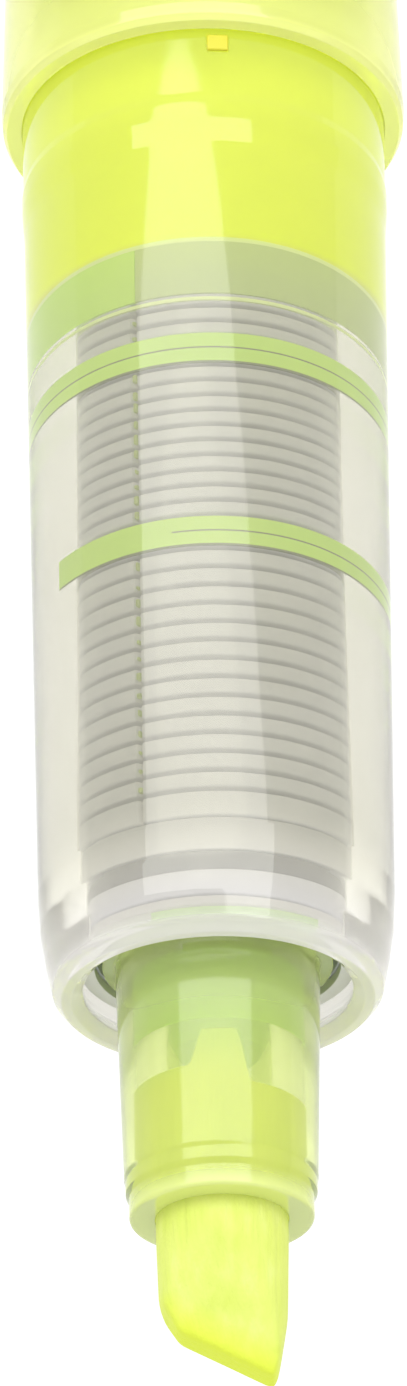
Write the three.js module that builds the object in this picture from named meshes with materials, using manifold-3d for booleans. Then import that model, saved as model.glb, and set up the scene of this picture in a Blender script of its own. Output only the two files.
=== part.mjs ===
// A retractable free-ink highlighter, lying along Y with its tip towards -Y.
// Millimetres, +Z up. It rests on z = 0. The nib and its carrier slide through the
// comb's hollow core, and a push button with an indexing cam works them from the rear.
import * as THREE from 'three';
import { mergeVertices } from 'three/addons/utils/BufferGeometryUtils.js';
import Module from 'manifold-3d';

const wasm = await Module();
wasm.setup();

// ---- driving dimensions ----
// Stations are distances from the nib's tip along the axis, and the rest are radii.
const LENGTH = 136;          // overall, with the nib out
const SIDES = 32;            // facets round each turned piece
const CORE_SIDES = 24;       // facets round the small inner pieces
const LIP_RADIUS = 6.56;     // the barrel's flared front lip
const BARREL_RADIUS = 6.2;
const BARREL_BORE = 5.5;
const SECTION_RADIUS = 5.9;  // at its shoulder
const TAPER_RADIUS = 5.39;   // where the rounded nose of the section starts
const SECTION_BORE = 4.22;
const SPIGOT_RADIUS = 5.44;  // the section's tail, inside the barrel
const CLEAR = 0.05;          // running clearance between fitted pieces

const MOUTH = 12.2;          // the section's open front face
const TAPER_END = 15.5;
const RECESS_FLOOR = 13.3;
const SHOULDER = 43.5;       // where the barrel's lip meets the section
const SPIGOT_END = 50;
const COMB_FRONT = 16.0;
const COMB_PLUG = 33.9;
const COMB_END = 36.2;
const COMB_GAPS = 8;
const COMB_CORE = 3.65;      // the hollow that the carrier slides in
const FIN_RADIUS = 4.17;
const FIN_ROOT = 3.92;
const TUBE_BORE = 1.28;      // the tube that takes the push rod through the ink
const TUBE_RADIUS = 1.6;
const TUBE_HOLE = TUBE_RADIUS + 0.06;
const TANK_END = 89;
const PLUG_END = 93;
const GUIDE_FRONT = 93.4;
const SPLINE_FRONT = 104.2;
const GUIDE_END = 126;
const GUIDE_BORE = 4.7;
const SPLINE_RADIUS = 3.8;
const BARREL_END = 128;
const CAP_END = 132;

const HOLDER_FRONT = 5.1;
const FLANGE_FRONT = 13.3;
const HOLDER_END = 13.95;
const PISTON_END = 20;
const NIB_TAIL = 11.6;
const ROD_END = 103;
const COLLAR_FRONT = 99.9;
const ROTOR_FRONT = 100.8;
const ROTOR_END = 104;
const BUTTON_FRONT = 104.7;
const KEY_END = 112.9;
const KEYWAYS = 4;           // deep slots between the guide's splines
const KEYWAY_ANGLE = 34 * Math.PI / 180;
const KEY_ANGLE = 26 * Math.PI / 180;

const AXIS_Z = LIP_RADIUS * Math.cos(Math.PI / SIDES);

// ---- materials ----
function plastic(color, opacity = 1, roughness = 0.3) {
  return new THREE.MeshStandardMaterial({
    color, roughness, metalness: 0, opacity, transparent: opacity < 1,
  });
}

const CLEAR_PLASTIC = plastic(0xe4e6d4, 0.35, 0.1);
const YELLOW_TUBE = plastic(0xe9f27c, 0.6, 0.15);
const COMB_WHITE = plastic(0xe0e1da);
const GREY_PLASTIC = plastic(0xb9bab2);
const INK = plastic(0xe3f05a, 0.8, 0.1);
const FIBRE = plastic(0xeefa70, 1, 0.9);
const RUBBER = plastic(0x55524a, 1, 0.7);
const YELLOW_SOLID = plastic(0xe8ee4a, 1, 0.35);
const STEEL = new THREE.MeshStandardMaterial({ color: 0xc8c9cc, roughness: 0.25, metalness: 1 });

// ---- geometry helpers ----
const along = (station) => station - LENGTH / 2;

// A closed mesh as a solid, and a solid back as a geometry.
function toSolid(geometry) {
  const bare = geometry.clone();
  for (const name of Object.keys(bare.attributes)) {
    if (name !== 'position') bare.deleteAttribute(name);
  }
  const merged = mergeVertices(bare, 1e-4);
  const mesh = new wasm.Mesh({
    numProp: 3,
    vertProperties: new Float32Array(merged.attributes.position.array),
    triVerts: new Uint32Array(merged.index.array),
  });
  return new wasm.Manifold(mesh);
}

function toGeometry(solid) {
  const mesh = solid.getMesh();
  const geometry = new THREE.BufferGeometry();
  geometry.setAttribute('position', new THREE.BufferAttribute(mesh.vertProperties, 3));
  geometry.setIndex(new THREE.BufferAttribute(mesh.triVerts, 1));
  geometry.computeVertexNormals();
  return geometry;
}

function join(...geometries) {
  return toGeometry(geometries.map(toSolid).reduce((a, b) => a.add(b)));
}

function cut(geometry, ...tools) {
  return toGeometry(tools.map(toSolid).reduce((a, b) => a.subtract(b), toSolid(geometry)));
}

// A turned piece. The outline is a list of [station, radius]. A ring's outline closes
// on itself, and a solid's starts and ends on the axis.
function turned(outline, sides = SIDES) {
  const points = outline.map(([station, radius]) => new THREE.Vector2(radius, along(station)));
  if (outline[0][1] > 0) points.push(points[0].clone());
  const area = points.reduce((sum, p, i) => {
    const q = points[(i + 1) % points.length];
    return sum + p.x * q.y - q.x * p.y;
  }, 0);
  if (area < 0) points.reverse();
  return new THREE.LatheGeometry(points, sides, Math.PI / sides);
}

// A round ring of a round section, such as an O-ring.
function ring(station, radius, thickness, sides = SIDES) {
  const outline = [];
  const steps = 6;
  for (let i = 0; i < steps; i += 1) {
    const turn = 2 * Math.PI * i / steps;
    outline.push([station + thickness * Math.sin(turn), radius + thickness * Math.cos(turn)]);
  }
  return turned(outline, sides);
}

// A block bent round the axis, from r0 to r1. Its middle and width are angles, measured
// from +Z towards +X. Its front and back may be numbers, or functions of how far across
// it is.
function bentBlock({ r0, r1, middle, width, front, back, steps = 4 }) {
  const at = (value, t) => (typeof value === 'function' ? value(t) : value);
  const positions = [];
  const index = [];
  for (let i = 0; i <= steps; i += 1) {
    const t = i / steps;
    const angle = middle + width * (t - 0.5);
    for (const [radius, station] of [
      [r0, at(front, t)], [r1, at(front, t)], [r1, at(back, t)], [r0, at(back, t)],
    ]) {
      positions.push(radius * Math.sin(angle), along(station), radius * Math.cos(angle));
    }
  }
  for (let i = 0; i < steps; i += 1) {
    for (let side = 0; side < 4; side += 1) {
      const a = 4 * i + side;
      const b = 4 * i + (side + 1) % 4;
      index.push(a, b + 4, b, a, a + 4, b + 4);
    }
  }
  const last = 4 * steps;
  index.push(0, 1, 2, 0, 2, 3);
  index.push(last, last + 2, last + 1, last, last + 3, last + 2);
  const geometry = new THREE.BufferGeometry();
  geometry.setAttribute('position', new THREE.Float32BufferAttribute(positions, 3));
  geometry.setIndex(index);
  return geometry;
}

function box(width, depth, height, x, y, z) {
  return new THREE.BoxGeometry(width, depth, height).translate(x, y, z);
}

function keyAngles() {
  return Array.from({ length: KEYWAYS }, (_, i) => 2 * Math.PI * i / KEYWAYS);
}

// ---- the assembly ----
const pen = new THREE.Group();
const axis = new THREE.Group();
axis.position.z = AXIS_Z;
pen.add(axis);

function add(name, geometry, material) {
  const mesh = new THREE.Mesh(geometry, material);
  mesh.name = name;
  axis.add(mesh);
}

// ---- casing ----
const BEAD_FRONT = 39.1;     // a low snap bead round the section, ahead of its shoulder
const BEAD_BACK = 40.9;
const BEAD_RISE = 0.06;
const BEAD_ROUND = 0.5;
const KEY_RISE = 0.1;
const SEAL_STATION = 48;
const SEAL_THICKNESS = 0.27;
const GROOVE_HALF = 0.4;     // half the width of a seal's groove
const GROOVE_DEPTH = 0.55;

// The section's taper, between the end of its nose and its shoulder.
function taperAt(station) {
  const t = (station - TAPER_END) / (SHOULDER - TAPER_END);
  return TAPER_RADIUS + (SECTION_RADIUS - TAPER_RADIUS) * t;
}

// A small raised key on the section's top that lines it up with the barrel.
function raisedKey() {
  return bentBlock({
    r0: SECTION_RADIUS - GROOVE_DEPTH,
    r1: SECTION_RADIUS + KEY_RISE,
    middle: 0,
    width: 0.11,
    front: SHOULDER - 1.0,
    back: SHOULDER - 0.35,
  });
}

function frontSection() {
  const shell = turned([
    [MOUTH, SECTION_BORE + 0.1],
    [MOUTH, TAPER_RADIUS - 0.77],
    [MOUTH + 0.08, TAPER_RADIUS - 0.59],
    [MOUTH + 0.35, TAPER_RADIUS - 0.42],
    [MOUTH + 1.2, TAPER_RADIUS - 0.23],
    [MOUTH + 2.2, TAPER_RADIUS - 0.07],
    [TAPER_END, TAPER_RADIUS],
    [BEAD_FRONT, taperAt(BEAD_FRONT)],
    [BEAD_FRONT + BEAD_ROUND, taperAt(BEAD_FRONT + BEAD_ROUND) + BEAD_RISE],
    [BEAD_BACK - BEAD_ROUND, taperAt(BEAD_BACK - BEAD_ROUND) + BEAD_RISE],
    [BEAD_BACK, taperAt(BEAD_BACK)],
    [SHOULDER, SECTION_RADIUS],
    [SHOULDER, SPIGOT_RADIUS],
    [SEAL_STATION - GROOVE_HALF, SPIGOT_RADIUS],
    [SEAL_STATION - GROOVE_HALF, SPIGOT_RADIUS - GROOVE_DEPTH],
    [SEAL_STATION + GROOVE_HALF, SPIGOT_RADIUS - GROOVE_DEPTH],
    [SEAL_STATION + GROOVE_HALF, SPIGOT_RADIUS],
    [SPIGOT_END - 0.3, SPIGOT_RADIUS],
    [SPIGOT_END, SPIGOT_RADIUS - 0.3],
    [SPIGOT_END, SECTION_BORE + 0.1],
    [SPIGOT_END - 0.3, SECTION_BORE],
    [MOUTH + 0.15, SECTION_BORE],
  ]);
  return join(shell, raisedKey());
}

function barrel() {
  return turned([
    [SHOULDER + CLEAR, BARREL_BORE],
    [SHOULDER + CLEAR, LIP_RADIUS - 0.25],
    [SHOULDER + CLEAR + 0.08, LIP_RADIUS - 0.08],
    [SHOULDER + CLEAR + 0.25, LIP_RADIUS],
    [SPIGOT_END, LIP_RADIUS - 0.12],
    [58, BARREL_RADIUS + 0.12],
    [68, BARREL_RADIUS],
    [BARREL_END, BARREL_RADIUS],
    [BARREL_END, BARREL_BORE],
  ]);
}

function collector() {
  const outline = [[COMB_FRONT, COMB_CORE], [COMB_FRONT, FIN_RADIUS]];
  const pitch = (COMB_PLUG - COMB_FRONT) / COMB_GAPS;
  for (let i = 0; i < COMB_GAPS; i += 1) {
    const start = COMB_FRONT + pitch * (i + 0.7);
    const end = COMB_FRONT + pitch * (i + 1);
    outline.push([start, FIN_RADIUS], [start, FIN_ROOT], [end, FIN_ROOT], [end, FIN_RADIUS]);
  }
  outline.push(
    [COMB_END, FIN_RADIUS],
    [COMB_END, TUBE_HOLE],
    [COMB_PLUG + 0.2, TUBE_HOLE],
    [COMB_PLUG + 0.2, COMB_CORE],
  );
  return turned(outline);
}

const NOSE_SEAL = 14.5;
const WIPER_THICKNESS = 0.3;

function noseBush() {
  const front = RECESS_FLOOR + WIPER_THICKNESS + CLEAR;
  return turned([
    [front, COMB_CORE],
    [front, FIN_RADIUS],
    [NOSE_SEAL - 0.3, FIN_RADIUS],
    [NOSE_SEAL - 0.3, FIN_ROOT],
    [NOSE_SEAL + 0.3, FIN_ROOT],
    [NOSE_SEAL + 0.3, FIN_RADIUS],
    [COMB_FRONT - CLEAR, FIN_RADIUS],
    [COMB_FRONT - CLEAR, COMB_CORE],
  ]);
}

function wiperSeal() {
  return turned([
    [RECESS_FLOOR, COMB_CORE + CLEAR],
    [RECESS_FLOOR, FIN_RADIUS],
    [RECESS_FLOOR + WIPER_THICKNESS, FIN_RADIUS],
    [RECESS_FLOOR + WIPER_THICKNESS, COMB_CORE + CLEAR],
  ]);
}

function inkCharge() {
  return turned([
    [COMB_END + CLEAR, TUBE_HOLE],
    [COMB_END + CLEAR, SECTION_BORE - CLEAR],
    [SPIGOT_END + CLEAR, SECTION_BORE - CLEAR],
    [SPIGOT_END + CLEAR, BARREL_BORE - CLEAR],
    [TANK_END - CLEAR, BARREL_BORE - CLEAR],
    [TANK_END - CLEAR, TUBE_HOLE],
  ]);
}

function guideTube() {
  return turned([
    [COMB_PLUG + 0.3, TUBE_BORE],
    [COMB_PLUG + 0.3, TUBE_RADIUS],
    [PLUG_END, TUBE_RADIUS],
    [PLUG_END, TUBE_BORE],
  ], CORE_SIDES);
}

const PLUG_SEAL = 91;

function tankPlug() {
  const radius = BARREL_BORE - CLEAR;
  return turned([
    [TANK_END, TUBE_HOLE],
    [TANK_END, radius - 0.3],
    [TANK_END + 0.3, radius],
    [PLUG_SEAL - GROOVE_HALF, radius],
    [PLUG_SEAL - GROOVE_HALF, radius - GROOVE_DEPTH],
    [PLUG_SEAL + GROOVE_HALF, radius - GROOVE_DEPTH],
    [PLUG_SEAL + GROOVE_HALF, radius],
    [PLUG_END, radius],
    [PLUG_END, TUBE_HOLE],
  ]);
}

const TOOTH_DEPTH = 1.4;     // of the ramps on the splines' front ends

function camGuide() {
  const outer = BARREL_BORE - CLEAR;
  const sleeve = turned([
    [GUIDE_FRONT, GUIDE_BORE],
    [GUIDE_FRONT, outer],
    [GUIDE_END, outer],
    [GUIDE_END, GUIDE_BORE],
  ]);
  const gap = 2 * Math.PI / KEYWAYS;
  const splines = keyAngles().map((angle) => bentBlock({
    r0: SPLINE_RADIUS,
    r1: GUIDE_BORE + 0.4,
    middle: angle + gap / 2,
    width: gap - KEYWAY_ANGLE,
    front: (t) => SPLINE_FRONT + TOOTH_DEPTH * (t < 0.5 ? 1 - 2 * t : 2 - 2 * t),
    back: GUIDE_END,
    steps: 6,
  }));
  return join(sleeve, ...splines);
}

const CAP_BORE = 3.75;
const SADDLE_WIDTH = 3.2;
const SADDLE_FLOOR = 5;
const CLIP_UNDER = BARREL_RADIUS + 0.8;
const CLIP_TOP = CLIP_UNDER + 1.2;

function endCap() {
  const shell = turned([
    [GUIDE_END + CLEAR, CAP_BORE],
    [GUIDE_END + CLEAR, BARREL_BORE - CLEAR],
    [BARREL_END + CLEAR, BARREL_BORE - CLEAR],
    [BARREL_END + CLEAR, LIP_RADIUS],
    [CAP_END - 0.8, LIP_RADIUS],
    [CAP_END - 0.25, LIP_RADIUS - 0.3],
    [CAP_END, LIP_RADIUS - 0.9],
    [CAP_END, CAP_BORE],
  ]);
  const saddleDepth = CAP_END - 1 - (BARREL_END + CLEAR);
  const saddleHeight = CLIP_TOP - SADDLE_FLOOR;
  return join(shell, box(
    SADDLE_WIDTH, saddleDepth, saddleHeight,
    0, along(BARREL_END + CLEAR + saddleDepth / 2), SADDLE_FLOOR + saddleHeight / 2,
  ));
}

// ---- carrier, which slides ----
const NIB_RADIUS = 1.95;
const WICK_HOLE = 1.15;
const ROD_RADIUS = 1.2;
const ROD_FRONT = 17;
const CARRIER_SEAL = 18;

// The chisel end: a slanted blunt edge that leaves the point on one side, a bevel above
// and one below it, and a small cut that rounds off the point.
const SLANT = 0.54;
const BEVEL = 1.16;
const BEVEL_LENGTH = 3.4;
const POINT_X = 1.35;
const POINT_CUT = 1;

function nib() {
  const bar = turned([
    [0, 0],
    [0, NIB_RADIUS - 0.1],
    [3.5, NIB_RADIUS],
    [NIB_TAIL - CLEAR, NIB_RADIUS],
    [NIB_TAIL - CLEAR, 0],
  ], CORE_SIDES);
  const ahead = () => box(14, 8, 10, 0, -4, 0);
  const slant = ahead().rotateZ(-SLANT).translate(POINT_X, along(0), 0);
  const point = ahead().rotateZ(POINT_CUT).translate(POINT_X, along(0), 0);
  const bevels = [1, -1].map((side) => ahead()
    .rotateX(-side * BEVEL)
    .rotateZ(-SLANT)
    .translate(POINT_X, along(BEVEL_LENGTH), side * NIB_RADIUS));
  return cut(bar, slant, point, ...bevels);
}

const HOLDER_RADIUS = 3.08;  // at its flange; it tapers towards its front lip
const FLANGE_RADIUS = 3.47;
const HOLDER_LIP = 2.72;

function nibHolder() {
  const shell = turned([
    [HOLDER_FRONT, 0],
    [HOLDER_FRONT, HOLDER_LIP - 0.12],
    [HOLDER_FRONT + 0.08, HOLDER_LIP],
    [HOLDER_FRONT + 0.66, HOLDER_LIP],
    [HOLDER_FRONT + 0.82, HOLDER_LIP + 0.1],
    [NIB_TAIL, HOLDER_RADIUS - 0.05],
    [FLANGE_FRONT, HOLDER_RADIUS],
    [FLANGE_FRONT, FLANGE_RADIUS],
    [HOLDER_END, FLANGE_RADIUS],
    [HOLDER_END, 0],
  ]);
  const socketRadius = NIB_RADIUS + CLEAR;
  const socket = turned([
    [HOLDER_FRONT - 1, 0],
    [HOLDER_FRONT - 1, socketRadius],
    [NIB_TAIL, socketRadius],
    [NIB_TAIL, 0],
  ], CORE_SIDES);
  const wickHole = turned([
    [NIB_TAIL - 1, 0],
    [NIB_TAIL - 1, WICK_HOLE],
    [HOLDER_END + 1, WICK_HOLE],
    [HOLDER_END + 1, 0],
  ], CORE_SIDES);
  return cut(shell, socket, wickHole);
}

function feedWick() {
  const radius = WICK_HOLE - 0.07;
  return turned([
    [NIB_TAIL, 0],
    [NIB_TAIL, radius],
    [ROD_FRONT - 0.2, radius],
    [ROD_FRONT - 0.2, 0],
  ], CORE_SIDES);
}

function carrierPiston() {
  const radius = COMB_CORE - 0.07;
  return turned([
    [HOLDER_END + CLEAR, WICK_HOLE],
    [HOLDER_END + CLEAR, radius],
    [CARRIER_SEAL - GROOVE_HALF, radius],
    [CARRIER_SEAL - GROOVE_HALF, radius - GROOVE_DEPTH],
    [CARRIER_SEAL + GROOVE_HALF, radius - GROOVE_DEPTH],
    [CARRIER_SEAL + GROOVE_HALF, radius],
    [PISTON_END, radius],
    [PISTON_END, ROD_RADIUS + CLEAR],
    [ROD_FRONT - 0.1, ROD_RADIUS + CLEAR],
    [ROD_FRONT - 0.1, WICK_HOLE],
  ]);
}

function pushRod() {
  return turned([
    [ROD_FRONT, 0],
    [ROD_FRONT, ROD_RADIUS - 0.1],
    [ROD_FRONT + 0.2, ROD_RADIUS],
    [ROD_END - 0.2, ROD_RADIUS],
    [ROD_END, ROD_RADIUS - 0.2],
    [ROD_END, 0],
  ], CORE_SIDES);
}

function springCollar() {
  const hole = ROD_RADIUS + 0.04;
  return turned([
    [COLLAR_FRONT, hole],
    [COLLAR_FRONT, ROTOR_RADIUS],
    [ROTOR_FRONT - 0.1, ROTOR_RADIUS],
    [ROTOR_FRONT - 0.1, hole],
  ], CORE_SIDES);
}

// ---- indexing cam ----
const ROTOR_RADIUS = 3.3;
const KEY_RADIUS = GUIDE_BORE - 0.15;
const TOOTH_INNER = 1.7;     // the crown of teeth that the button bears on
const TOOTH_OUTER = 2.8;

function camRotor() {
  const pivotHole = ROD_RADIUS + 0.12;
  const body = turned([
    [ROD_END + 0.2, 0],
    [ROD_END + 0.2, pivotHole],
    [ROTOR_FRONT, pivotHole],
    [ROTOR_FRONT, ROTOR_RADIUS],
    [ROTOR_END, ROTOR_RADIUS],
    [ROTOR_END, 0],
  ], CORE_SIDES);
  const ribs = keyAngles().map((angle) => bentBlock({
    r0: ROTOR_RADIUS - 0.4,
    r1: KEY_RADIUS,
    middle: angle,
    width: KEY_ANGLE,
    front: ROTOR_FRONT + 0.3,
    back: (t) => ROTOR_END - 0.8 + 0.6 * t,
  }));
  const crown = keyAngles().map((angle) => bentBlock({
    r0: TOOTH_INNER,
    r1: TOOTH_OUTER,
    middle: angle,
    width: Math.PI / 4,
    front: ROTOR_END - 0.3,
    back: (t) => ROTOR_END + 0.02 + 0.5 * t,
  }));
  return join(body, ...ribs, ...crown);
}

// ---- button ----
const HEAD_RADIUS = 3.6;
const SLEEVE_BORE = 2.6;
const SLEEVE_MOUTH = 2;
const CAP_JOINT = CAP_END + 1.3;

function pushButton() {
  const sleeve = turned([
    [BUTTON_FRONT, SLEEVE_MOUTH],
    [BUTTON_FRONT, ROTOR_RADIUS],
    [KEY_END - 1, ROTOR_RADIUS],
    [KEY_END - 0.7, HEAD_RADIUS],
    [CAP_JOINT, HEAD_RADIUS],
    [CAP_JOINT, SLEEVE_BORE],
    [KEY_END, SLEEVE_BORE],
    [KEY_END - 1, SLEEVE_MOUTH],
  ]);
  const keys = keyAngles().map((angle) => bentBlock({
    r0: SLEEVE_BORE + 0.2,
    r1: KEY_RADIUS,
    middle: angle,
    width: KEY_ANGLE,
    front: (t) => BUTTON_FRONT + 0.4 * t,
    back: KEY_END,
  }));
  return join(sleeve, ...keys);
}

function buttonCap() {
  return turned([
    [CAP_END - 3, 0],
    [CAP_END - 3, SLEEVE_BORE - CLEAR],
    [CAP_JOINT + CLEAR, SLEEVE_BORE - CLEAR],
    [CAP_JOINT + CLEAR, HEAD_RADIUS],
    [LENGTH - 0.7, HEAD_RADIUS],
    [LENGTH - 0.2, HEAD_RADIUS - 0.2],
    [LENGTH, HEAD_RADIUS - 0.7],
    [LENGTH, 0],
  ]);
}

// ---- spring ----
class Coil extends THREE.Curve {
  constructor(radius, turns, front, back) {
    super();
    Object.assign(this, { radius, turns, front, back });
  }

  getPoint(t, target = new THREE.Vector3()) {
    const angle = 2 * Math.PI * this.turns * t;
    return target.set(
      this.radius * Math.cos(angle),
      along(this.front + (this.back - this.front) * t),
      this.radius * Math.sin(angle),
    );
  }
}

const WIRE_RADIUS = 0.25;
const COIL_RADIUS = 2.45;
const COIL_TURNS = 7;

function returnSpring() {
  const section = new THREE.Shape();
  section.absarc(0, 0, WIRE_RADIUS, 0, 2 * Math.PI, false);
  const end = WIRE_RADIUS + CLEAR;
  const coil = new Coil(COIL_RADIUS, COIL_TURNS, PLUG_END + end, COLLAR_FRONT - end);
  return new THREE.ExtrudeGeometry(section, {
    steps: COIL_TURNS * 10, curveSegments: 3, extrudePath: coil,
  });
}

// ---- clip ----
const CLIP_WIDTH = 4.2;
const CLIP_ROOT = BARREL_END - 0.3;

const CLIP_TIP = 93;

function pocketClip() {
  const tip = CLIP_TIP;
  const bump = BARREL_RADIUS + 0.2;
  const profile = new THREE.Shape();
  profile.moveTo(along(CLIP_ROOT), CLIP_TOP);
  profile.lineTo(along(tip + 2.5), CLIP_TOP);
  profile.quadraticCurveTo(along(tip + 0.6), CLIP_TOP, along(tip), CLIP_TOP + 0.5);
  profile.lineTo(along(tip + 0.1), CLIP_TOP - 0.2);
  profile.quadraticCurveTo(along(tip + 1.2), bump, along(tip + 2.6), bump);
  profile.quadraticCurveTo(along(tip + 3.8), bump, along(tip + 5), CLIP_UNDER);
  profile.lineTo(along(CLIP_ROOT), CLIP_UNDER);
  const arm = new THREE.ExtrudeGeometry(profile, {
    depth: CLIP_WIDTH, bevelEnabled: false, curveSegments: 5,
  });
  // The profile's x runs along the axis and its y upwards, so it turns to face along X.
  const turn = new THREE.Matrix4().makeBasis(
    new THREE.Vector3(0, 1, 0), new THREE.Vector3(0, 0, 1), new THREE.Vector3(1, 0, 0),
  );
  return arm.applyMatrix4(turn).translate(-CLIP_WIDTH / 2, 0, 0);
}

add('front_section', frontSection(), CLEAR_PLASTIC);
add('barrel', barrel(), YELLOW_TUBE);
add('section_seal', ring(SEAL_STATION, SPIGOT_RADIUS - 0.24, SEAL_THICKNESS), RUBBER);
add('collector', collector(), COMB_WHITE);
add('nose_bush', noseBush(), COMB_WHITE);
add('nose_seal', ring(NOSE_SEAL, 4.04, 0.11), RUBBER);
add('wiper_seal', wiperSeal(), RUBBER);
add('ink_charge', inkCharge(), INK);
add('guide_tube', guideTube(), COMB_WHITE);
add('tank_plug', tankPlug(), COMB_WHITE);
add('plug_seal', ring(PLUG_SEAL, BARREL_BORE - 0.29, SEAL_THICKNESS), RUBBER);
add('cam_guide', camGuide(), GREY_PLASTIC);
add('end_cap', endCap(), YELLOW_SOLID);
add('nib', nib(), FIBRE);
add('nib_holder', nibHolder(), CLEAR_PLASTIC);
add('feed_wick', feedWick(), FIBRE);
add('carrier_piston', carrierPiston(), GREY_PLASTIC);
add('carrier_seal', ring(CARRIER_SEAL, COMB_CORE - 0.29, 0.25), RUBBER);
add('push_rod', pushRod(), GREY_PLASTIC);
add('spring_collar', springCollar(), GREY_PLASTIC);
add('cam_rotor', camRotor(), YELLOW_SOLID);
add('push_button', pushButton(), GREY_PLASTIC);
add('button_cap', buttonCap(), YELLOW_SOLID);
add('return_spring', returnSpring(), STEEL);
add('pocket_clip', pocketClip(), YELLOW_SOLID);

export default pen;
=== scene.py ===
"""Looks for a retractable free-ink highlighter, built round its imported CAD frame.

The pen lies along Y with its nib towards -Y. A turned piece is an outline of
(station, radius) or (station, radius, rounding) in millimetres, and a station is a
distance from the nib's tip. Positions come from the CAD nodes' own boxes.
"""

import math
import random

import bmesh
import bpy
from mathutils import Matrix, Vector


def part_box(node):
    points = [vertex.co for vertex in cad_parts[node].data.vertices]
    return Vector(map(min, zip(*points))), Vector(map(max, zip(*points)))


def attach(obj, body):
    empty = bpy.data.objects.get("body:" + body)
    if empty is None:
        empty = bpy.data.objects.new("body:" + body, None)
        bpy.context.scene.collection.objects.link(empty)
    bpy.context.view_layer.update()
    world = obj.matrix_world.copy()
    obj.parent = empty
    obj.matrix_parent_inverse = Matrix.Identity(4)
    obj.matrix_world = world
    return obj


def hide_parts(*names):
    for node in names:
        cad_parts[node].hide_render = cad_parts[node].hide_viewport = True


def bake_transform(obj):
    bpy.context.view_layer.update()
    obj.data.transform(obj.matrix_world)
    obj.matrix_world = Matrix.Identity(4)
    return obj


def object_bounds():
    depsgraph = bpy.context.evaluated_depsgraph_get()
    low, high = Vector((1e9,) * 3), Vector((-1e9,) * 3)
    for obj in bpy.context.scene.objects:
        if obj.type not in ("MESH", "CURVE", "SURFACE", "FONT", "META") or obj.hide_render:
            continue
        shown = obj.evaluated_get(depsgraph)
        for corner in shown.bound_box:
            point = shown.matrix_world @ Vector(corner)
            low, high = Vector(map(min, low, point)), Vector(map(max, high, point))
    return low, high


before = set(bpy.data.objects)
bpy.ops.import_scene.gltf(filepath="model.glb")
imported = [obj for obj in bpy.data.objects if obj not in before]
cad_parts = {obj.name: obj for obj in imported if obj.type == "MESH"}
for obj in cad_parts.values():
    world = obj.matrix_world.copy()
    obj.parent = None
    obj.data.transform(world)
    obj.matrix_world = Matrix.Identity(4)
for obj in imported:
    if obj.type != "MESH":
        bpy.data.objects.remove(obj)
cad_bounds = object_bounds()

MM = 0.001
SIDES = 192
TIP_Y = cad_bounds[0].y
AXIS_Z = (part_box("barrel")[0].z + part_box("barrel")[1].z) / 2


# ---- places, from the CAD ----
def front(node):
    """The station of a CAD node's front end."""
    return (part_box(node)[0].y - TIP_Y) / MM


def back(node):
    """The station of a CAD node's rear end."""
    return (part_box(node)[1].y - TIP_Y) / MM


def middle_of(node):
    """The station half-way along a CAD node."""
    return (front(node) + back(node)) / 2


def point(x, station, z):
    """A point in metres, from millimetres off the axis and a station."""
    return Vector((x * MM, TIP_Y + station * MM, AXIS_Z + z * MM))


MOUTH = front("front_section")
SHOULDER = front("barrel")
SPIGOT_END = back("front_section")
COMB_FRONT = front("collector")
COMB_END = back("collector")
INK_END = back("ink_charge")
PLUG_END = back("tank_plug")
BARREL_END = back("barrel")
CAP_END = back("end_cap")
LENGTH = back("button_cap")
HOLDER_FRONT = front("nib_holder")
HOLDER_END = back("nib_holder")
NIB_TAIL = back("nib")
BORE = 4.22              # of the clear section
BARREL_BORE = 5.5
BARREL_RADIUS = 6.2
LIP_RADIUS = 6.56
TAPER_RADIUS = 5.39      # of the section, just behind its rounded mouth
SECTION_RADIUS = 5.9     # of the section, at its shoulder
TAPER_END = MOUTH + 3.3
WET = 0.015              # how far ink stands into a wall, so that it touches it
SLANT = 0.48             # of the nib's end face
POINT_X = 1.42           # where the nib's point is, off the axis
FIN_RADIUS = 4.17        # of the comb's fins
SHANK_TONGUE = 10.35     # where the nib's shank ends along its top
SHANK_LEFT = 9.25        # where it ends at its sides
SHANK_RIGHT = 8.7
TAIL_START, TAIL_END = 8.6, 10.4         # where the shank turns green
GREEN_START, GREEN_END = 9, 12.2         # where the holder turns green
HAZE_START, HAZE_END = 9.5, 12.5         # where the holder turns milky
CORE_FRONT = 10.2        # of the ink behind the nib's shank
CORE_BACK = 13.1
WICK_FRONT = 12.35


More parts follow.
